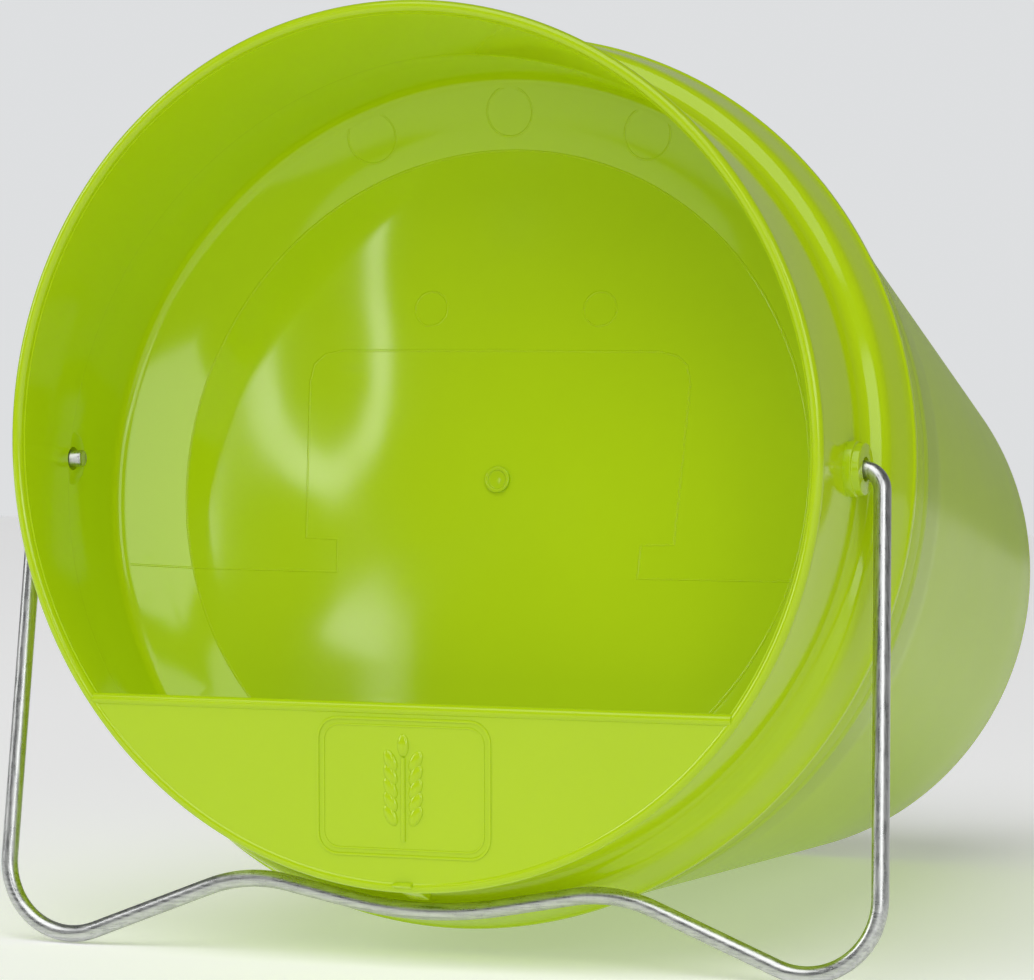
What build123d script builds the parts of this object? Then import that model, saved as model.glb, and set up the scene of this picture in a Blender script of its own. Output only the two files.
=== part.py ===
from build123d import *
import math
import os

os.makedirs("parts", exist_ok=True)

# ---------------------------------------------------------------- driving dimensions (mm, degrees)
# Every "depth" runs from the middle of the lip, along the axis of the tub, towards its base.
lip_radius = 125.0        # over the rounded lip of the mouth
bead_radius = 1.8         # rounded lip, centred just outside the outer face of the wall
wall = 2.0                # moulded wall of the feeder head
tilt = 9.5                # the mouth looks upwards by this much when the feeder stands
lip_rake = 10.0           # the lip leans forward at the top, as a hood

pivot_depth = 31.25       # bail holes behind the lip
bail_lean = 3.4           # lean of the standing bail from the plane of the disc
wire = 5.0                # bail wire
hole_diameter = 7.0       # bail hole
bend_radius = 6.0         # wire bend outside each hub
leg_top = 132.4           # half width of the bail at the hubs
leg_foot = 136.0          # half width of the bail above the feet
leg_splay = 1.8           # each leg leans outwards, downwards
foot_radius = 21.5        # rounded corner that forms each foot
foot_turn = 109.0         # angle the wire turns through at each foot
foot_reach = 141.13       # hub to the middle of the wire under a foot
dip_reach = 129.4         # hub to the middle of the wire at the catch
hump_reach = 122.6        # hub to the middle of the wire at the two humps
wire_end = 117.8          # half distance between the cut wire ends

shoulder_depth = 37.5     # end of the straight wall outside
flange_depth = 62.5       # free edge of the skirt
flange_radius = 133.4     # over the beaded edge of the skirt
disc_depth = 61.5         # outer edge of the dished disc
disc_dish = 5.0           # how much deeper the flat middle of the disc lies
disc_flat_radius = 100.0  # flat middle of the disc

hub_diameter = 16.0
hub_face = 127.4          # outer face of each hub
dam_height = -72.5        # top of the dam, measured in the plane of the lip
slot_top = -70.0          # top of the feed slot in the disc
catch_crest = 126.5       # catch under the head, just inside the circle the wire sweeps
catch_width = 6.0

neck_radius = 127.6       # neck of the tub inside the skirt
neck_depth = 45.4         # mouth edge of the tub
collar_radius = 129.6
base_depth = 334.0
base_radius = 95.0
tub_wall = 1.8

# ---------------------------------------------------------------- standing position
# The feeder rests on the two feet of the bail and on the low edge of the tub's base.
t = math.radians(tilt)
into = Vector(0, math.cos(t), -math.sin(t))
rise = Vector(0, math.sin(t), math.cos(t))
lip_y = -170.855
lip_z = 148.67
lip_centre = Vector(0, lip_y, lip_z)
tub_axis = Axis(lip_centre, into)
half_section = Plane(origin=lip_centre, x_dir=into, z_dir=(1, 0, 0))

rake = math.radians(lip_rake)
lip_plane = Plane(
    origin=lip_centre,
    x_dir=(1, 0, 0),
    z_dir=into * -math.cos(rake) - rise * math.sin(rake),
)
lean = math.radians(bail_lean)
pivot_centre = lip_centre + into * pivot_depth
bail_plane = Plane(
    origin=pivot_centre,
    x_dir=(1, 0, 0),
    z_dir=into * -math.cos(lean) - rise * math.sin(lean),
)


def cross_section(depth):
    # plane square to the tub axis, looking out of the mouth
    return Plane(origin=lip_centre + into * depth, x_dir=(1, 0, 0), z_dir=into * -1)


bead_centre = lip_radius - bead_radius
outer = bead_centre - 0.2
inner = outer - wall

# ---------------------------------------------------------------- feeder head
# One moulding: raked lip, straight wall, shoulder and flared skirt, dished disc, dam, hubs, catch.
flat_depth = disc_depth + disc_dish
with BuildPart() as feeder_head:
    with BuildSketch(half_section):
        with BuildLine():
            Polyline(
                (-32.0, inner),
                (29.0, inner),
                (30.0, inner + 0.3),
                (disc_depth - 3.0, inner),
                (disc_depth - 0.8, inner - 0.8),
                (disc_depth, inner - 3.0),
                (flat_depth, disc_flat_radius),
                (flat_depth, 0.0),
                (flat_depth + wall, 0.0),
                (flat_depth + wall, disc_flat_radius),
                (disc_depth + wall, inner - 3.0),
                (disc_depth + 1.4, outer - 0.6),
                (disc_depth, outer),
                (45.2, outer),
                (44.2, outer + 1.2),
                (44.2, 127.2),
                (45.0, 127.9),
                (51.0, 128.4),
                (60.8, 131.3),
                (61.8, 131.3),
                (flange_depth, 132.0),
                (flange_depth, flange_radius - 0.6),
                (flange_depth - 0.6, flange_radius),
                (flange_depth - 2.0, flange_radius),
                (flange_depth - 2.8, flange_radius - 0.7),
                (50.5, 131.0),
                (46.0, 130.1),
                (44.0, 129.4),
                (42.8, 128.2),
                (42.2, 126.6),
                (41.6, 125.2),
                (40.6, 124.1),
                (39.0, 123.4),
                (shoulder_depth, outer),
                (-32.0, outer),
                close=True,
            )
        make_face()
    revolve(axis=tub_axis, revolution_arc=360)

    # the raked lip: trim the wall in the plane of the lip, then roll its edge
    with BuildSketch(lip_plane):
        Rectangle(300, 300)
    extrude(amount=80, mode=Mode.SUBTRACT)
    with BuildLine(lip_plane) as lip_line:
        EllipticalCenterArc((0, 0), bead_centre, bead_centre / math.cos(rake), start_angle=0, arc_size=360)
    with BuildSketch(Plane(origin=lip_line.line @ 0, z_dir=lip_line.line % 0)):
        Circle(bead_radius)
    sweep(path=lip_line.line)

    # dam across the bottom of the mouth, with its rounded top rim
    with BuildSketch(lip_plane.offset(-0.6)):
        Ellipse(inner + 0.6, (inner + 0.6) / math.cos(rake))
        with Locations((0, dam_height - 1.0 + 150)):
            Rectangle(300, 300, mode=Mode.SUBTRACT)
    extrude(amount=2.0)
    dam_half = inner * math.sqrt(1 - (dam_height * math.cos(rake) / inner) ** 2)
    rim_start = lip_plane.from_local_coords((-dam_half - 0.8, dam_height - 1.8, 0))
    with BuildSketch(Plane(origin=rim_start, z_dir=(1, 0, 0))):
        Circle(1.8)
    extrude(amount=2 * (dam_half + 0.8))

    # feed slot: the segment of the disc behind the dam, left open inside the wall
    with BuildSketch(cross_section(flat_depth + wall + 1.0)):
        Circle(inner - 3.0)
        with Locations((0, slot_top + 150)):
            Rectangle(300, 300, mode=Mode.SUBTRACT)
    extrude(amount=12.0, mode=Mode.SUBTRACT)

    # two-layer hubs outside the wall, a low pad inside, and the bail holes
    for side in (-1, 1):
        hub_plane = Plane(origin=pivot_centre + Vector(side * (inner - 0.7), 0, 0), z_dir=(side, 0, 0))
        with BuildSketch(hub_plane):
            Circle(hub_diameter / 2)
        extrude(amount=hub_face - 2.2 - inner + 0.7)
        with BuildSketch(hub_plane):
            Circle(hub_diameter / 2 - 0.6)
        extrude(amount=hub_face - inner + 0.7)
    with BuildSketch(Plane(origin=pivot_centre + Vector(-200, 0, 0), z_dir=(1, 0, 0))):
        Circle(hole_diameter / 2)
    extrude(amount=400, mode=Mode.SUBTRACT)

    # wedge-shaped catch under the wall, in front of the standing bail
    with BuildSketch(half_section):
        with BuildLine():
            Polyline(
                (19.5, -outer + 0.6),
                (19.5, -outer - 0.2),
                (30.5, -catch_crest + 0.2),
                (33.0, -catch_crest),
                (34.6, -catch_crest + 0.6),
                (35.6, -outer + 0.6),
                close=True,
            )
        make_face()
    extrude(amount=catch_width / 2, both=True)
feeder_head.part.label = "feeder_head"
export_step(feeder_head.part, "parts/feeder_head.step")

# ---------------------------------------------------------------- tub
# Tapered pail on its side: plain neck inside the skirt, stepped collar, recessed base.
taper = (128.2 - base_radius) / (base_depth - 89.0)
with BuildPart() as tub:
    with BuildSketch(half_section):
        with BuildLine():
            Polyline(
                (neck_depth, neck_radius - 0.5),
                (neck_depth + 0.5, neck_radius),
                (59.5, neck_radius),
                (63.2, collar_radius - 0.3),
                (64.0, collar_radius),
                (82.0, collar_radius),
                (82.6, 128.9),
                (88.6, 128.9),
                (89.2, 128.2),
                (base_depth - 5.0, base_radius + 5.0 * taper),
                (base_depth - 1.6, base_radius - 0.8),
                (base_depth, base_radius - 3.0),
                (base_depth, base_radius - 6.0),
                (base_depth - 4.0, base_radius - 8.0),
                (base_depth - 4.0, 0.0),
                (base_depth - 4.0 - tub_wall, 0.0),
                (base_depth - 4.0 - tub_wall, base_radius - 8.0),
                (base_depth - 5.0, base_radius - 5.0),
                (base_depth - 8.0, base_radius - tub_wall + 8.0 * taper),
                (89.2, 128.2 - tub_wall),
                (neck_depth + 0.5, neck_radius - tub_wall),
                (neck_depth, neck_radius - tub_wall + 0.5),
                close=True,
            )
        make_face()
    revolve(axis=tub_axis, revolution_arc=360)
tub.part.label = "tub"
export_step(tub.part, "parts/tub.step")

# ---------------------------------------------------------------- wire bail
# One bent wire: ends in the hubs, two splayed legs, rounded feet, two humps, a dip at the catch.
with BuildPart() as bail:
    with BuildLine(bail_plane) as half_wire:
        end = Line((wire_end, 0), (leg_top - bend_radius, 0))
        bend = JernArc(end @ 1, end % 1, bend_radius, leg_splay - 90)
        leg = Line(bend @ 1, (leg_foot, foot_radius - foot_reach))
        foot = JernArc(leg @ 1, leg % 1, foot_radius, -foot_turn)
        Spline(
            foot @ 1,
            (80.0, -hump_reach - 7.2),
            (50.0, -hump_reach),
            (0.0, -dip_reach),
            tangents=(foot % 1, Vector(-1, 0, 0)),
        )
    half_path = half_wire.wires()[0]
    with BuildSketch(Plane(origin=half_path @ 0, z_dir=half_path % 0)):
        Circle(wire / 2)
    sweep(path=half_path)
    mirror(about=Plane.YZ)
bail.part.label = "bail"
export_step(bail.part, "parts/bail.step")
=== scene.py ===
import math

import bpy
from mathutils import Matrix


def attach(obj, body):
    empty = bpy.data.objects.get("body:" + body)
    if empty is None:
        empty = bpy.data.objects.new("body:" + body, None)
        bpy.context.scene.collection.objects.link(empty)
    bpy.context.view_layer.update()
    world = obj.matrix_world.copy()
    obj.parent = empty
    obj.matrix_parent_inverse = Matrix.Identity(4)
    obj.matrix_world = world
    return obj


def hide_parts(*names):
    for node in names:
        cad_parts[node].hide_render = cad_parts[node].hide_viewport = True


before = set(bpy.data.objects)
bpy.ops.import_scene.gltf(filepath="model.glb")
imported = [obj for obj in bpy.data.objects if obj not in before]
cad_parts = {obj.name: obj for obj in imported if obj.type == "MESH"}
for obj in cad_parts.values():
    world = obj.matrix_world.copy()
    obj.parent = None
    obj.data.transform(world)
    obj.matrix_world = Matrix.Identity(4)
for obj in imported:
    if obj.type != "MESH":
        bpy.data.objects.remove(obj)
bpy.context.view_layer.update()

# ---------------------------------------------------------------- sizes of the feeder (mm, degrees)
# Pieces are made in the tub's own frame: X across, Y along the axis into the tub, Z up,
# from the middle of the lip. stand() then tips them into their place on the floor.
MM = 0.001
TILT = math.radians(9.5)      # the mouth looks up by this much
RAKE = math.radians(10.0)     # the lip leans forward at the top
LEAN = math.radians(3.4)      # lean of the standing bail
LIP_CENTRE = (0.0, -0.170855, 0.14867)
PIVOT_DEPTH = 31.25
INNER, OUTER = 121.0, 123.0   # faces of the wall of the feeder head
BEAD = 123.2                  # centre of the rolled lip
LIP_RADIUS = 1.78             # of the rolled lip and of the dam's top rim
DISC_EDGE, DISC_FLAT = 61.5, 66.5    # depths of the disc's rim and of its flat middle
DISC_REACH = 118.2            # how far out the open face of the disc goes
DAM_TOP, SLOT_TOP = -72.5, -70.0
PANEL_MIDDLE = -96.7          # of the raised panel, on the dam
DAM_FACE = -1.36              # depth at which the ear of grain is set
TUB_WALL = 1.8
NECK, COLLAR_END = 128.2, 89.3       # radius where the tub's taper starts, and its depth
BASE_RADIUS, TUB_END = 95.0, 334.0
WIRE_RADIUS = 2.5
WIRE_HOLE = 3.5
AROUND = 256                  # faces round a turned piece


# ---------------------------------------------------------------- ways of making a piece
def new_piece():
    """Leaves edit mode and lets go of everything, ready for a new primitive."""
    if bpy.context.object and bpy.context.object.mode != "OBJECT":
        bpy.ops.object.mode_set(mode="OBJECT")
    bpy.ops.object.select_all(action="DESELECT")


def edit(piece, kind="VERT"):
    new_piece()
    bpy.context.view_layer.objects.active = piece
    piece.select_set(True)
    bpy.ops.object.mode_set(mode="EDIT")
    bpy.ops.mesh.select_mode(type=kind)
    bpy.ops.mesh.select_all(action="DESELECT")


def pick(piece, wanted):
    """Selects the vertices, edges or faces whose middle satisfies wanted(x, y, z), in mm."""
    mode = bpy.context.tool_settings.mesh_select_mode[:]
    bpy.ops.object.mode_set(mode="OBJECT")
    mesh = piece.data
    place = piece.matrix_world
    if mode[0]:
        for v in mesh.vertices:
            v.select = wanted(*(place @ v.co / MM))
    elif mode[1]:
        for e in mesh.edges:
            middle = (mesh.vertices[e.vertices[0]].co + mesh.vertices[e.vertices[1]].co) / 2
            e.select = wanted(*(place @ middle / MM))
    else:
        for f in mesh.polygons:
            f.select = wanted(*(place @ f.center / MM))
    bpy.ops.object.mode_set(mode="EDIT")


def tidy_mesh():
    """Merges doubles and turns all faces outwards. Called in edit mode."""
    bpy.ops.mesh.select_all(action="SELECT")
    bpy.ops.mesh.remove_doubles(threshold=0.000004)
    bpy.ops.mesh.delete_loose(use_verts=True, use_edges=True, use_faces=False)
    bpy.ops.mesh.select_all(action="SELECT")
    bpy.ops.mesh.normals_make_consistent(inside=False)
    bpy.ops.object.mode_set(mode="OBJECT")


def settle(piece):
    """Puts the place, turn and scale of a piece into its mesh."""
    new_piece()
    bpy.context.view_layer.objects.active = piece
    piece.select_set(True)
    bpy.ops.object.transform_apply(location=True, rotation=True, scale=True)


def stand(piece, lean=0.0, depth=0.0):
    """Tips a piece from the tub's frame, or from a plane leaning forward in it, into its place."""
    settle(piece)
    piece.rotation_euler = (lean - TILT, 0, 0)
    piece.location = (
        LIP_CENTRE[0],
        LIP_CENTRE[1] + depth * MM * math.cos(TILT),
        LIP_CENTRE[2] - depth * MM * math.sin(TILT),
    )
    settle(piece)


def smooth(piece, angle=32):
    new_piece()
    bpy.context.view_layer.objects.active = piece
    piece.select_set(True)
    bpy.ops.object.shade_smooth_by_angle(angle=math.radians(angle), keep_sharp_edges=False)


def soften(piece, width, segments=2, angle=30):
    """Rounds the moulded edges of a piece."""
    new_piece()
    bpy.context.view_layer.objects.active = piece
    rounding = piece.modifiers.new("rounding", "BEVEL")
    rounding.width = width * MM
    rounding.segments = segments
    rounding.limit_method = "ANGLE"
    rounding.angle_limit = math.radians(angle)
    rounding.use_clamp_overlap = True
    bpy.ops.object.modifier_apply(modifier=rounding.name)


def cut(piece, cutter):
    """Takes the cutter's shape out of a piece and throws the cutter away."""
    new_piece()
    bpy.context.view_layer.objects.active = piece
    hole = piece.modifiers.new("hole", "BOOLEAN")
    hole.operation = "DIFFERENCE"
    hole.solver = "EXACT"
    hole.object = cutter
    bpy.ops.object.modifier_apply(modifier=hole.name)
    bpy.data.objects.remove(cutter)


def turned(name, profile, around=AROUND):
    """A shape turned about the tub's axis from (depth, radius) points."""
    new_piece()
    depth, radius = profile[0]
    bpy.ops.mesh.primitive_plane_add(size=MM, location=(0, depth * MM, radius * MM))
    piece = bpy.context.object
    piece.name = name
    bpy.ops.object.mode_set(mode="EDIT")
    bpy.ops.mesh.select_mode(type="VERT")
    bpy.ops.mesh.merge(type="CENTER")
    points = profile + [profile[0]]
    for (d0, r0), (d1, r1) in zip(points, points[1:]):
        step = (0, (d1 - d0) * MM, (r1 - r0) * MM)
        bpy.ops.mesh.extrude_vertices_move(TRANSFORM_OT_translate={"value": step})
    bpy.ops.mesh.select_all(action="SELECT")
    bpy.ops.mesh.spin(steps=around, angle=2 * math.pi, center=(0, 0, 0), axis=(0, 1, 0))
    tidy_mesh()
    return piece


def rod(name, radius, length, place, turn=(0, 0, 0), sides=48):
    new_piece()
    bpy.ops.mesh.primitive_cylinder_add(
        vertices=sides, radius=radius * MM, depth=length * MM,
        location=[c * MM for c in place], rotation=turn,
    )
    piece = bpy.context.object
    piece.name = name
    return piece


def arc(depth, radius, size, start, end, steps=5):
    """(depth, radius) points round an arc, for a moulded fillet."""
    turns = [math.radians(start + (end - start) * i / steps) for i in range(steps + 1)]
    return [(depth + size * math.cos(a), radius + size * math.sin(a)) for a in turns]


# ---------------------------------------------------------------- feeder head
def head_shell():
    """Hooded wall, shoulder, flared skirt and dished disc, moulded in one."""
    profile = [(-34.0, INNER), (28.6, INNER), (29.2, INNER + 0.12), (30.0, INNER + 0.3)]
    profile += [(40.0, INNER + 0.3), (50.0, INNER + 0.3)]
    profile += arc(DISC_EDGE - 4.0, INNER - 3.7, 4.0, 90, 8)
    profile += [(62.0, 116.4), (64.3, 107.6), (66.15, 100.5), (66.35, 99.95), (66.46, 99.5)]
    profile += [(DISC_FLAT, 99.0), (DISC_FLAT, 92.0)]
    profile += [(DISC_FLAT, 60.0), (DISC_FLAT, 20.0), (DISC_FLAT, 0.0)]
    profile += [(DISC_FLAT + 2, 0.0), (DISC_FLAT + 2, 100.0), (DISC_EDGE + 2, INNER - 3.0)]
    profile += [(DISC_EDGE + 1.4, OUTER - 0.6), (DISC_EDGE, OUTER), (45.2, OUTER)]
    profile += [(44.2, OUTER + 1.2), (44.2, 127.2), (45.0, 127.9), (51.0, 128.4), (60.8, 131.3)]
    profile += [(61.8, 131.3), (62.5, 132.0), (62.5, 132.8), (62.2, 133.2), (61.7, 133.4)]
    profile += [(60.6, 133.4), (60.0, 133.25), (59.6, 132.8), (59.2, 132.6), (55.0, 131.8)]
    profile += [(50.5, 131.0), (46.6, 130.3), (45.2, 129.9), (44.0, 129.3), (43.1, 128.4)]
    profile += [(42.5, 127.3), (42.0, 125.9), (41.3, 124.8), (40.2, 124.0), (39.0, 123.4)]
    profile += [(37.5, OUTER), (-34.0, OUTER)]
    shell = turned("head_shell", profile)
    edit(shell)
    bpy.ops.mesh.select_all(action="SELECT")
    bpy.ops.mesh.bisect(
        plane_co=(0, 0, 0), plane_no=(0, -math.cos(RAKE), -math.sin(RAKE)), clear_outer=True
    )
    bpy.ops.mesh.bridge_edge_loops()
    tidy_mesh()
    return shell


def feed_slot_cutter():
    slot = rod("slot_cutter", INNER - 3.0, 30, (0, 72, 0), (math.pi / 2, 0, 0), 128)
    edit(slot)
    bpy.ops.mesh.select_all(action="SELECT")
    bpy.ops.mesh.bisect(
        plane_co=(0, 0, SLOT_TOP * MM), plane_no=(0, 0, 1), clear_outer=True, use_fill=True
    )
    tidy_mesh()
    return slot


def lip_bead():
    new_piece()
    bpy.ops.mesh.primitive_torus_add(
        major_segments=AROUND, minor_segments=20, major_radius=BEAD * MM,
        minor_radius=LIP_RADIUS * MM, rotation=(math.pi / 2, 0, 0),
    )
    bead = bpy.context.object
    bead.name = "lip_bead"
    settle(bead)
    edit(bead)
    bpy.ops.mesh.select_all(action="SELECT")
    bpy.ops.transform.resize(value=(1, 1, 1 / math.cos(RAKE)), center_override=(0, 0, 0))
    bpy.ops.object.mode_set(mode="OBJECT")
    return bead


def dam():
    """Plate that closes the bottom of the mouth, flush inside the rolled lip."""
    new_piece()
    bpy.ops.mesh.primitive_circle_add(
        vertices=AROUND, radius=(INNER + 1.4) * MM, fill_type="NGON",
        location=(0, 0.6 * MM, 0), rotation=(math.pi / 2, 0, 0),
    )
    plate = bpy.context.object
    plate.name = "dam"
    settle(plate)
    edit(plate)
    bpy.ops.mesh.select_all(action="SELECT")
    bpy.ops.transform.resize(value=(1, 1, 1 / math.cos(RAKE)), center_override=(0, 0, 0))
    bpy.ops.mesh.bisect(
        plane_co=(0, 0, (DAM_TOP - 1) * MM), plane_no=(0, 0, 1), clear_outer=True
    )
    bpy.ops.mesh.select_all(action="SELECT")
    bpy.ops.mesh.extrude_region_move(TRANSFORM_OT_translate={"value": (0, -2.0 * MM, 0)})
    tidy_mesh()
    return plate


def dam_rim():
    half = INNER * math.sqrt(1 - (DAM_TOP * math.cos(RAKE) / INNER) ** 2) + 0.8
    return rod("dam_rim", LIP_RADIUS, 2 * half, (0, -0.35, DAM_TOP - 1.8), (0, math.pi / 2, 0), 32)


def hub(side):
    """Round boss for one end of the bail: two layers outside the wall, open for the wire."""
    name = "hub_right" if side > 0 else "hub_left"
    base = rod(name, 8.0, 4.2, (side * 123.1, PIVOT_DEPTH, 0), (0, side * math.pi / 2, 0), 64)
    edit(base, "FACE")
    pick(base, lambda x, y, z: x * side > 125.1)
    bpy.ops.mesh.inset(thickness=0.6 * MM)
    bpy.ops.mesh.extrude_region_move(
        TRANSFORM_OT_translate={"value": (side * 2.15 * MM, 0, 0)}
    )
    tidy_mesh()
    soften(base, 0.35, 3, 40)
    return base


def wire_hole_cutter():
    return rod("hole_cutter", WIRE_HOLE, 300, (0, PIVOT_DEPTH, 0), (0, math.pi / 2, 0), 48)


def catch():
    """Wedge under the wall that the standing bail clicks behind."""
    new_piece()
    bpy.ops.mesh.primitive_cube_add(size=MM, location=(0, 27.5 * MM, -124.3 * MM))
    wedge = bpy.context.object
    wedge.name = "catch"
    wedge.scale = (6.0, 16.0, 4.4)
    settle(wedge)
    edit(wedge, "VERT")
    pick(wedge, lambda x, y, z: z < -126 and y < 27)
    bpy.ops.transform.translate(value=(0, 0, 3.2 * MM))
    pick(wedge, lambda x, y, z: z < -126 and y > 27)
    bpy.ops.transform.translate(value=(0, -2.0 * MM, 0))
    tidy_mesh()
    soften(wedge, 0.6, 3, 30)
    return wedge


def gate_nub():
    """Low round nub in the middle of the disc, where the mould was filled."""
    nub = rod("gate_nub", 3.9, 2.0, (2.5, DISC_FLAT - 0.25, 0), (math.pi / 2, 0, 0), 48)
    edit(nub, "FACE")
    pick(nub, lambda x, y, z: y < DISC_FLAT - 1.1)
    bpy.ops.mesh.inset(thickness=1.1 * MM)
    bpy.ops.mesh.extrude_region_move(
        TRANSFORM_OT_translate={"value": (0, 0.5 * MM, 0)}
    )
    tidy_mesh()
    soften(nub, 0.35, 3, 25)
    return nub


def emblem_frame(width, height, band, corner, proud, name):
    """Raised outline with rounded corners on the face of the dam."""
    new_piece()
    bpy.ops.mesh.primitive_plane_add(
        size=MM, location=(0, -1.3 * MM, PANEL_MIDDLE * MM), rotation=(math.pi / 2, 0, 0)
    )
    outline = bpy.context.object
    outline.name = name
    outline.scale = (width, height, 1)
    settle(outline)
    edit(outline, "VERT")
    bpy.ops.mesh.select_all(action="SELECT")
    bpy.ops.mesh.bevel(offset=corner * MM, segments=8, affect="VERTICES")
    bpy.ops.mesh.select_mode(type="FACE")
    bpy.ops.mesh.select_all(action="SELECT")
    bpy.ops.mesh.inset(thickness=band * MM)
    bpy.ops.mesh.delete(type="FACE")
    bpy.ops.mesh.select_all(action="SELECT")
    bpy.ops.mesh.extrude_region_move(
        TRANSFORM_OT_translate={"value": (0, -proud * MM, 0)}
    )
    tidy_mesh()
    soften(outline, min(proud, band) * 0.42, 2, 40)
    return outline


def emblem_ear():
    """A plain ear of grain in low relief: one kernel modelled, the rest copied up the stalk."""
    kernels = []
    places = [(0, -84.6, 0)]
    for row in range(5):
        for side in (-1, 1):
            places.append((side * 3.9, -89.0 - row * 3.9, side * -28))
    for x, z, turn in places:
        new_piece()
        bpy.ops.mesh.primitive_uv_sphere_add(segments=20, ring_count=12, radius=MM)
        kernel = bpy.context.object
        kernel.scale = (1.8, 0.85, 3.3)
        kernel.rotation_euler = (0, math.radians(-turn), 0)
        kernel.location = (x * MM, DAM_FACE * MM, z * MM)
        settle(kernel)
        kernels.append(kernel)
    stalk = rod("stalk", 0.75, 24.0, (0, DAM_FACE, -100.0), (0, 0, 0), 16)
    settle(stalk)
    new_piece()
    for k in kernels:
        k.select_set(True)
    stalk.select_set(True)
    bpy.context.view_layer.objects.active = stalk
    bpy.ops.object.join()
    stalk.name = "emblem_ear"
    return stalk


# ---------------------------------------------------------------- tub
def tub_shell():
    """Tapered pail lying on its side: neck, stepped collar, taper and recessed base."""
    taper = (NECK - BASE_RADIUS) / (TUB_END - 89.0)
    base_edge = TUB_END - 5.0
    inner_base = TUB_END - 4.0 - TUB_WALL
    profile = [(45.4, 127.1), (45.9, 127.6), (59.5, 127.6), (63.2, 129.3), (64.0, 129.6)]
    profile += [(73.0, 129.6), (81.6, 129.6), (82.0, 129.5), (82.3, 129.1), (82.6, 128.9)]
    profile += [(85.5, 128.9), (88.3, 128.9), (88.7, 128.8), (89.0, 128.4), (89.3, 128.2)]
    for i in range(1, 8):
        depth = COLLAR_END + (base_edge - COLLAR_END) * i / 8
        profile.append((depth, NECK - (depth - COLLAR_END) * taper))
    profile += [(base_edge, BASE_RADIUS + 5 * taper), (331.4, 95.0), (332.8, 94.2), (333.7, 93.2)]
    profile += [(334.0, 92.0), (334.0, 89.2), (333.6, 88.5), (330.6, 87.6), (330.0, 86.6)]
    profile += [(330.0, 60.0), (330.0, 30.0), (330.0, 0.0), (inner_base, 0.0)]
    profile += [(inner_base, 87.0), (base_edge, 90.0), (326.0, BASE_RADIUS - TUB_WALL + 8 * taper)]
    profile += [(89.2, NECK - TUB_WALL), (45.9, 127.6 - TUB_WALL), (45.4, 128.0 - TUB_WALL)]
    return turned("tub_shell", profile)


def base_ring():
    """Shallow ring moulded in the recess under the pail."""
    return turned("base_ring", [(329.9, 30.0), (330.7, 29.7), (330.7, 28.3), (329.9, 28.0)], 128)


# ---------------------------------------------------------------- wire bail
def wire_bail():
    """One bent wire, drawn out from its right end to the middle and mirrored."""
    cut_end = 117.8
    new_piece()
    bpy.ops.mesh.primitive_circle_add(
        vertices=24, radius=WIRE_RADIUS * MM, location=(cut_end * MM, 0, 0),
        rotation=(0, math.pi / 2, 0),
    )
    piece = bpy.context.object
    piece.name = "wire_bail"
    bpy.ops.object.mode_set(mode="EDIT")
    bpy.ops.mesh.select_mode(type="VERT")
    bpy.ops.mesh.select_all(action="SELECT")
    at = [cut_end, 0.0]
    heading = 0.0

    def run(length, pieces=1):
        for _ in range(pieces):
            dx = math.cos(heading) * length / pieces
            dz = math.sin(heading) * length / pieces
            bpy.ops.mesh.extrude_region_move(
                TRANSFORM_OT_translate={"value": (dx * MM, 0, dz * MM)}
            )
            at[0] += dx
            at[1] += dz

    def bend(radius, degrees, steps):
        nonlocal heading
        turn = math.radians(degrees)
        side = math.copysign(radius, turn)
        centre = (at[0] - side * math.sin(heading), at[1] + side * math.cos(heading))
        bpy.ops.mesh.spin(
            steps=steps, angle=turn, center=(centre[0] * MM, 0, centre[1] * MM), axis=(0, 1, 0)
        )
        heading += turn
        at[0] = centre[0] + side * math.sin(heading)
        at[1] = centre[1] - side * math.cos(heading)

    run(8.6)
    bend(6.0, -88.2, 12)
    run(113.88, 6)
    bend(21.5, -113.3, 26)
    run(39.8, 3)
    bend(45.0, 32.3, 14)
    slope = math.pi + heading % (2 * math.pi) - 2 * math.pi
    dip = 128.0
    run((at[0] - dip * math.sin(abs(slope))) / math.cos(slope), 2)
    bend(dip, -math.degrees(slope), 8)
    tidy_mesh()
    edit(piece)
    pick(piece, lambda x, y, z: x < cut_end + 0.2 and z > -4)
    bpy.ops.mesh.edge_face_add()
    bpy.ops.mesh.inset(thickness=0.35 * MM)
    bpy.ops.transform.translate(value=(-0.3 * MM, 0, 0))
    bpy.ops.object.mode_set(mode="OBJECT")
    settle(piece)
    other_half = piece.modifiers.new("other_half", "MIRROR")
    other_half.use_axis = (True, False, False)
    other_half.merge_threshold = 0.00005
    bpy.ops.object.modifier_apply(modifier=other_half.name)
    edit(piece)
    tidy_mesh()
    return piece


# ---------------------------------------------------------------- shader helpers
def add(tree, kind, **settings):
    node = tree.nodes.new(kind)
    for key, value in settings.items():
        setattr(node, key, value)
    return node


def join(tree, source, target):
    tree.links.new(source, target)


def math_node(tree, operation, a, b=None, clamp=False):
    node = add(tree, "ShaderNodeMath", operation=operation, use_clamp=clamp)
    for socket, value in zip(node.inputs, (a, b)):
        if value is None:
            continue
        if isinstance(value, (int, float)):
            socket.default_value = value
        else:
            join(tree, value, socket)
    return node.outputs[0]


def ramp(tree, source, low, high, out_low=0.0, out_high=1.0):
    node = add(tree, "ShaderNodeMapRange")
    node.interpolation_type = "SMOOTHSTEP"
    join(tree, source, node.inputs["Value"])
    ends = {"From Min": low, "From Max": high, "To Min": out_low, "To Max": out_high}
    for name, value in ends.items():
        node.inputs[name].default_value = value
    return node.outputs[0]


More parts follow.
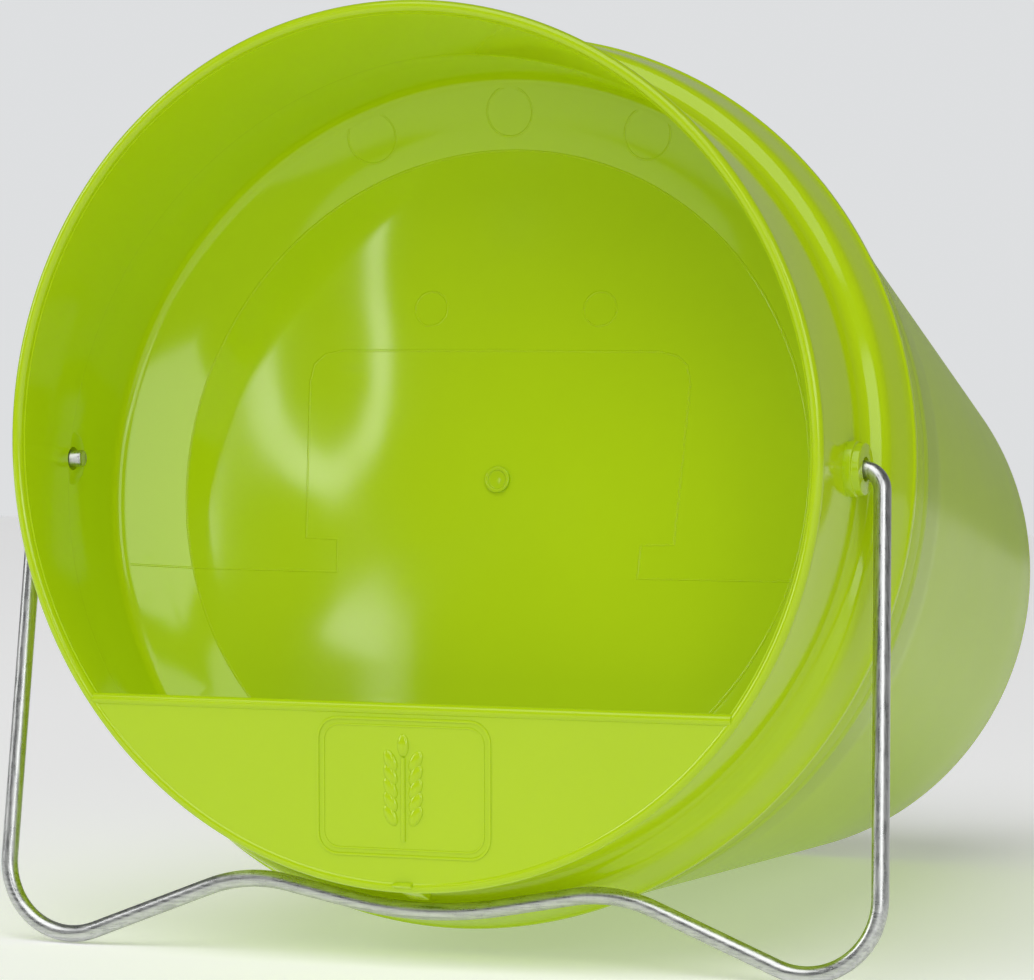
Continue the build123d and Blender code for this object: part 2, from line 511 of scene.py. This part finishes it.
def noise(tree, vector, scale, detail=2.0, roughness=0.5):
    node = add(tree, "ShaderNodeTexNoise")
    join(tree, vector, node.inputs["Vector"])
    node.inputs["Scale"].default_value = scale
    node.inputs["Detail"].default_value = detail
    node.inputs["Roughness"].default_value = roughness
    return node.outputs["Fac"]


def group_of(name, inputs, outputs):
    tree = bpy.data.node_groups.new(name, "ShaderNodeTree")
    for label, kind in inputs:
        tree.interface.new_socket(name=label, in_out="INPUT", socket_type=kind)
    for label, kind in outputs:
        tree.interface.new_socket(name=label, in_out="OUTPUT", socket_type=kind)
    return tree, add(tree, "NodeGroupInput"), add(tree, "NodeGroupOutput")


def use_group(tree, group, **values):
    node = add(tree, "ShaderNodeGroup", node_tree=group)
    for label, value in values.items():
        socket = node.inputs[label.replace("_", " ")]
        if isinstance(value, (int, float, tuple)):
            socket.default_value = value
        else:
            join(tree, value, socket)
    return node


# ---------------------------------------------------------------- shared effects
def make_witness_line():
    """How strongly a point is on a straight mould line from Start to End."""
    tree, given, result = group_of(
        "witness_line",
        [("Vector", "NodeSocketVector"), ("Start", "NodeSocketVector"),
         ("End", "NodeSocketVector"), ("Width", "NodeSocketFloat")],
        [("Mask", "NodeSocketFloat")],
    )

    def vector(operation, a, b):
        node = add(tree, "ShaderNodeVectorMath", operation=operation)
        join(tree, a, node.inputs[0])
        join(tree, b, node.inputs[1])
        return node

    along = vector("SUBTRACT", given.outputs["End"], given.outputs["Start"]).outputs[0]
    offset = vector("SUBTRACT", given.outputs["Vector"], given.outputs["Start"]).outputs[0]
    top = vector("DOT_PRODUCT", offset, along).outputs["Value"]
    bottom = vector("DOT_PRODUCT", along, along).outputs["Value"]
    share = math_node(tree, "DIVIDE", top, bottom, clamp=True)
    foot = add(tree, "ShaderNodeVectorMath", operation="SCALE")
    join(tree, along, foot.inputs[0])
    join(tree, share, foot.inputs["Scale"])
    away = vector("DISTANCE", offset, foot.outputs[0]).outputs["Value"]
    near = math_node(tree, "DIVIDE", away, given.outputs["Width"])
    join(tree, ramp(tree, near, 0.35, 1.0, 1.0, 0.0), result.inputs["Mask"])
    return tree


def make_witness_ring():
    """How strongly a point is on a round ejector mark."""
    tree, given, result = group_of(
        "witness_ring",
        [("Vector", "NodeSocketVector"), ("Centre", "NodeSocketVector"),
         ("Radius", "NodeSocketFloat"), ("Width", "NodeSocketFloat")],
        [("Mask", "NodeSocketFloat")],
    )
    distance = add(tree, "ShaderNodeVectorMath", operation="DISTANCE")
    join(tree, given.outputs["Vector"], distance.inputs[0])
    join(tree, given.outputs["Centre"], distance.inputs[1])
    off = math_node(tree, "SUBTRACT", distance.outputs["Value"], given.outputs["Radius"])
    off = math_node(tree, "ABSOLUTE", off)
    near = math_node(tree, "DIVIDE", off, given.outputs["Width"])
    join(tree, ramp(tree, near, 0.35, 1.0, 1.0, 0.0), result.inputs["Mask"])
    return tree


def make_moulded_skin():
    """Slow waves, fine grain and handling scuffs of a moulded plastic surface."""
    tree, given, result = group_of(
        "moulded_skin",
        [("Vector", "NodeSocketVector"), ("Waves", "NodeSocketFloat"),
         ("Scuffs", "NodeSocketFloat"), ("Gloss", "NodeSocketFloat")],
        [("Height", "NodeSocketFloat"), ("Roughness", "NodeSocketFloat"),
         ("Tint", "NodeSocketFloat")],
    )
    where = given.outputs["Vector"]
    slow = noise(tree, where, 15.0, 0.0, 0.4)
    middle = noise(tree, where, 60.0, 2.0, 0.5)
    fine = noise(tree, where, 900.0, 2.0, 0.6)
    waves = math_node(tree, "MULTIPLY", slow, given.outputs["Waves"])
    grain = math_node(tree, "MULTIPLY", fine, 0.0000015)
    ripple = math_node(tree, "MULTIPLY", middle, 0.000015)
    height = math_node(tree, "ADD", math_node(tree, "ADD", waves, grain), ripple)
    join(tree, height, result.inputs["Height"])
    stretch = add(tree, "ShaderNodeMapping")
    stretch.inputs["Scale"].default_value = (26.0, 300.0, 160.0)
    stretch.inputs["Rotation"].default_value = (0.2, 0.5, 0.3)
    join(tree, where, stretch.inputs["Vector"])
    scratch = noise(tree, stretch.outputs[0], 1.0, 4.0, 0.62)
    scratch = ramp(tree, scratch, 0.6, 0.78)
    patch = ramp(tree, noise(tree, where, 14.0, 3.0, 0.55), 0.45, 0.72)
    worn = math_node(tree, "MULTIPLY", scratch, patch)
    worn = math_node(tree, "MULTIPLY", worn, given.outputs["Scuffs"])
    uneven = math_node(tree, "MULTIPLY", middle, 0.05)
    rough = math_node(tree, "ADD", given.outputs["Gloss"], uneven)
    rough = math_node(tree, "ADD", rough, math_node(tree, "MULTIPLY", worn, 0.25))
    join(tree, rough, result.inputs["Roughness"])
    join(tree, noise(tree, where, 17.0, 3.0, 0.5), result.inputs["Tint"])
    return tree


WITNESS_LINE = make_witness_line()
WITNESS_RING = make_witness_ring()
MOULDED_SKIN = make_moulded_skin()


def blank_material(name):
    material = bpy.data.materials.new(name)
    material.use_nodes = True
    tree = material.node_tree
    shader = tree.nodes["Principled BSDF"]
    place = add(tree, "ShaderNodeTexCoord").outputs["Object"]
    return material, tree, shader, place


def bump(tree, shader, height):
    """Relief from a height in metres."""
    node = add(tree, "ShaderNodeBump")
    node.inputs["Strength"].default_value = 1.0
    node.inputs["Distance"].default_value = 1.0
    join(tree, height, node.inputs["Height"])
    join(tree, node.outputs["Normal"], shader.inputs["Normal"])


def two_tone(tree, factor, dark, light):
    mix = add(tree, "ShaderNodeMix", data_type="RGBA")
    join(tree, factor, mix.inputs[0])
    mix.inputs[6].default_value = (*dark, 1)
    mix.inputs[7].default_value = (*light, 1)
    return mix.outputs[2]


# ---------------------------------------------------------------- finishes of the feeder
DISC_SHIFT = (0.025, 0.0, 0.052)    # which part of the waves falls on the disc, in metres
LIME_DARK = (0.385, 0.565, 0.003)
LIME_LIGHT = (0.430, 0.610, 0.005)
LIME_GLOW = (0.62, 0.80, 0.0)
HEAD_GLOW, TRIM_GLOW = 0.085, 0.05
MARK_HEIGHT = 0.00014         # of the mould marks on the disc, in metres
MARK_WIDTH = 0.34             # of their lines, in mm


def lime_plastic(
    name, waves, gloss, scuffs, ior=1.49, shift=(0.0, 0.0, 0.0), glow=TRIM_GLOW, marks=None
):
    """Moulded polypropylene. The glow stands for light that comes through the thin walls."""
    material, tree, shader, place = blank_material(name)
    moved = add(tree, "ShaderNodeMapping")
    moved.inputs["Location"].default_value = shift
    join(tree, place, moved.inputs["Vector"])
    skin = use_group(
        tree, MOULDED_SKIN, Vector=moved.outputs[0], Waves=waves, Scuffs=scuffs, Gloss=gloss
    )
    color = two_tone(tree, skin.outputs["Tint"], LIME_DARK, LIME_LIGHT)
    join(tree, color, shader.inputs["Base Color"])
    join(tree, skin.outputs["Roughness"], shader.inputs["Roughness"])
    shader.inputs["IOR"].default_value = ior
    shader.inputs["Emission Color"].default_value = (*LIME_GLOW, 1)
    shader.inputs["Emission Strength"].default_value = glow
    height = skin.outputs["Height"]
    if marks:
        raised = math_node(tree, "MULTIPLY", marks(tree, place), MARK_HEIGHT)
        height = math_node(tree, "ADD", height, raised)
    bump(tree, shader, height)
    return material


def disc_marks(tree, place):
    """Mould marks on the disc: the outline of a blanked door and the ejector rings."""
    local = add(tree, "ShaderNodeMapping", vector_type="TEXTURE")
    local.inputs["Location"].default_value = LIP_CENTRE
    local.inputs["Rotation"].default_value = (-TILT, 0, 0)
    join(tree, place, local.inputs["Vector"])
    apart = add(tree, "ShaderNodeSeparateXYZ")
    join(tree, local.outputs[0], apart.inputs[0])
    flat = add(tree, "ShaderNodeVectorMath", operation="MULTIPLY")
    join(tree, local.outputs[0], flat.inputs[0])
    flat.inputs[1].default_value = (1000.0, 0.0, 1000.0)
    on_disc = flat.outputs[0]

    def folded(middle):
        """The same place with both halves of the disc folded onto one another."""
        moved = add(tree, "ShaderNodeVectorMath", operation="SUBTRACT")
        join(tree, on_disc, moved.inputs[0])
        moved.inputs[1].default_value = (middle, 0.0, 0.0)
        both = add(tree, "ShaderNodeVectorMath", operation="ABSOLUTE")
        join(tree, moved.outputs[0], both.inputs[0])
        signed = add(tree, "ShaderNodeSeparateXYZ")
        join(tree, both.outputs[0], signed.inputs[0])
        again = add(tree, "ShaderNodeCombineXYZ")
        join(tree, signed.outputs["X"], again.inputs["X"])
        join(tree, math_node(tree, "MULTIPLY", apart.outputs["Z"], 1000.0), again.inputs["Z"])
        return again.outputs[0]

    door = [(119.5, -28.3), (48.0, -28.6), (48.6, -18.7), (58.9, -18.4), (61.1, 29.0),
            (60.0, 34.6), (56.6, 37.6), (51.0, 38.8), (0.0, 38.9)]
    halves = folded(0.2)
    masks = []
    for (x0, z0), (x1, z1) in zip(door, door[1:]):
        line = use_group(
            tree, WITNESS_LINE, Vector=halves, Start=(x0, 0, z0), End=(x1, 0, z1), Width=MARK_WIDTH
        )
        masks.append(line.outputs[0])
    rings = [(halves, 44.4, 103.5, 7.5), (on_disc, 0.0, 111.0, 7.2), (folded(4.5), 27.1, 51.6, 5.2)]
    rings += [(on_disc, 0.0, 0.0, 99.7)]
    for vector, x, z, radius in rings:
        ring = use_group(
            tree, WITNESS_RING, Vector=vector, Centre=(x, 0, z), Radius=radius, Width=MARK_WIDTH
        )
        masks.append(ring.outputs[0])
    total = masks[0]
    for mask in masks[1:]:
        total = math_node(tree, "MAXIMUM", total, mask)
    return total


def galvanised_wire():
    """Bright drawn wire with its zinc bloom and fine lengthwise streaks."""
    material, tree, shader, place = blank_material("galvanised_wire")
    shader.inputs["Metallic"].default_value = 1.0
    streaks = []
    for scale in ((1400.0, 1400.0, 40.0), (40.0, 1400.0, 1400.0)):
        stretch = add(tree, "ShaderNodeMapping")
        stretch.inputs["Scale"].default_value = scale
        join(tree, place, stretch.inputs["Vector"])
        streaks.append(noise(tree, stretch.outputs[0], 1.0, 2.0, 0.5))
    apart = add(tree, "ShaderNodeSeparateXYZ")
    join(tree, place, apart.inputs[0])
    along = add(tree, "ShaderNodeMix", data_type="FLOAT")
    join(tree, ramp(tree, apart.outputs["Z"], 0.018, 0.030), along.inputs[0])
    join(tree, streaks[1], along.inputs[2])
    join(tree, streaks[0], along.inputs[3])
    bloom = noise(tree, place, 260.0, 3.0, 0.6)
    mottle = math_node(tree, "MULTIPLY", along.outputs[0], 0.7)
    mottle = math_node(tree, "ADD", mottle, math_node(tree, "MULTIPLY", bloom, 0.3))
    tone = ramp(tree, mottle, 0.36, 0.64)
    color = two_tone(tree, tone, (0.45, 0.46, 0.455), (0.63, 0.64, 0.63))
    join(tree, color, shader.inputs["Base Color"])
    join(tree, ramp(tree, mottle, 0.35, 0.65, 0.25, 0.36), shader.inputs["Roughness"])
    bump(tree, shader, math_node(tree, "MULTIPLY", mottle, 0.0000022))
    return material


def pale_floor():
    material, tree, shader, place = blank_material("pale_floor")
    tone = noise(tree, place, 3.0, 2.0)
    color = two_tone(tree, tone, (0.90, 0.90, 0.90), (0.93, 0.93, 0.93))
    join(tree, color, shader.inputs["Base Color"])
    shader.inputs["Roughness"].default_value = 0.7
    shader.inputs["Specular IOR Level"].default_value = 0.2
    shader.inputs["Emission Color"].default_value = (1.0, 1.0, 1.0, 1)
    shader.inputs["Emission Strength"].default_value = 0.24
    return material


# ---------------------------------------------------------------- build
def finish_piece(piece, body, material, replaced=None):
    piece.data.materials.append(material)
    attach(piece, body)
    if replaced:
        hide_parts(replaced)


def on_the_disc(point):
    """Whether a point in its standing place is on the open face of the disc."""
    y, z = point[1] - LIP_CENTRE[1], point[2] - LIP_CENTRE[2]
    depth = (y * math.cos(TILT) - z * math.sin(TILT)) / MM
    up = (y * math.sin(TILT) + z * math.cos(TILT)) / MM
    across = point[0] / MM
    return DISC_EDGE - 0.1 < depth < DISC_FLAT + 0.2 and math.hypot(across, up) < DISC_REACH


head_lime = lime_plastic("lime_head", 0.0002, 0.09, 0.4, 1.44, glow=HEAD_GLOW)
disc_lime = lime_plastic(
    "lime_disc", 0.0031, 0.05, 0.5, 1.46, shift=DISC_SHIFT, glow=HEAD_GLOW, marks=disc_marks
)
trim_lime = lime_plastic("lime_trim", 0.0, 0.1, 0.3)
tub_lime = lime_plastic("lime_tub", 0.0002, 0.2, 0.12, 1.13)
zinc = galvanised_wire()

shell = head_shell()
cut(shell, feed_slot_cutter())
cut(shell, wire_hole_cutter())
smooth(shell, 28)
stand(shell)
finish_piece(shell, "head", head_lime, "feeder_head")
shell.data.materials.append(disc_lime)
for face in shell.data.polygons:
    face.material_index = 1 if face.normal.y < 0 and on_the_disc(face.center) else 0

for side in (-1, 1):
    boss = hub(side)
    cut(boss, wire_hole_cutter())
    smooth(boss, 35)
    stand(boss)
    finish_piece(boss, "head", trim_lime)

for piece, lean in (
    (lip_bead(), RAKE), (dam(), RAKE), (dam_rim(), RAKE), (catch(), 0), (gate_nub(), 0),
    (emblem_frame(54.0, 40.0, 0.9, 6.5, 0.45, "emblem_outer"), RAKE),
    (emblem_frame(50.0, 36.0, 0.6, 5.0, 0.3, "emblem_inner"), RAKE),
    (emblem_ear(), RAKE),
):
    smooth(piece, 40)
    stand(piece, lean)
    finish_piece(piece, "head", trim_lime)

pail = tub_shell()
smooth(pail, 28)
stand(pail)
finish_piece(pail, "tub", tub_lime, "tub")
ring = base_ring()
smooth(ring, 40)
stand(ring)
finish_piece(ring, "tub", tub_lime)

bail = wire_bail()
smooth(bail, 50)
stand(bail, LEAN, PIVOT_DEPTH)
finish_piece(bail, "bail", zinc, "bail")

# ---------------------------------------------------------------- floor, light and camera
new_piece()
bpy.ops.mesh.primitive_plane_add(size=5.0, location=(0, 0, -0.0004))
floor = bpy.context.object
floor.name = "floor"
floor.data.materials.append(pale_floor())

bpy.context.scene.view_settings.view_transform = "Standard"
world = bpy.data.worlds.new("studio")
bpy.context.scene.world = world
world.use_nodes = True
air = world.node_tree
sky = air.nodes["Background"]
facing = add(air, "ShaderNodeSeparateXYZ")
join(air, add(air, "ShaderNodeTexCoord").outputs["Generated"], facing.inputs[0])
behind = ramp(air, facing.outputs["Y"], 0.55, 0.95, 0.12, 0.32)
backdrop = add(air, "ShaderNodeMix", data_type="FLOAT")
join(air, add(air, "ShaderNodeLightPath").outputs["Is Camera Ray"], backdrop.inputs[0])
join(air, behind, backdrop.inputs[2])
backdrop.inputs[3].default_value = 0.75
join(air, backdrop.outputs[0], sky.inputs["Strength"])
sky.inputs["Color"].default_value = (0.97, 0.985, 1.0, 1)


def softbox(name, place, aim, width, height, power):
    light = bpy.data.lights.new(name, "AREA")
    light.shape = "RECTANGLE"
    light.size = width
    light.size_y = height
    light.energy = power
    lamp = bpy.data.objects.new(name, light)
    bpy.context.scene.collection.objects.link(lamp)
    lamp.location = place
    direction = [a - p for a, p in zip(aim, place)]
    flat = math.hypot(direction[0], direction[1])
    lamp.rotation_euler = (
        math.atan2(flat, -direction[2]), 0, math.atan2(direction[1], direction[0]) - math.pi / 2
    )
    return lamp


MIDDLE = (0.0, 0.0, 0.14)
softbox("left_box", (-2.0, -1.0, 0.9), MIDDLE, 0.9, 1.3, 12)
softbox("right_box", (1.7, -1.9, 0.9), MIDDLE, 1.0, 1.2, 9.6)
softbox("tall_box", (0.28, -2.6, 0.9), MIDDLE, 0.5, 0.8, 3.6)
softbox("low_fill", (1.0, -2.0, 0.3), MIDDLE, 0.9, 0.4, 3.2)
softbox("glint_strip", (-1.08, -2.2, 0.84), (0, -0.1, 0.14), 0.08, 0.3, 0.42)

overhead = bpy.data.lights.new("overhead", "SUN")
overhead.energy = 1.35
overhead.angle = math.radians(55)
canopy = bpy.data.objects.new("overhead", overhead)
bpy.context.scene.collection.objects.link(canopy)
canopy.rotation_euler = (math.radians(32), 0, 0)

camera_data = bpy.data.cameras.new("camera")
camera_data.sensor_fit = "HORIZONTAL"
camera_data.sensor_width = 36.0
camera_data.lens = 156.67
camera = bpy.data.objects.new("camera", camera_data)
bpy.context.scene.collection.objects.link(camera)
camera.location = (0.4997, -1.3469, 0.1834)
camera.rotation_euler = (math.radians(87.914), math.radians(-0.08), math.radians(21.585))
bpy.context.scene.camera = camera
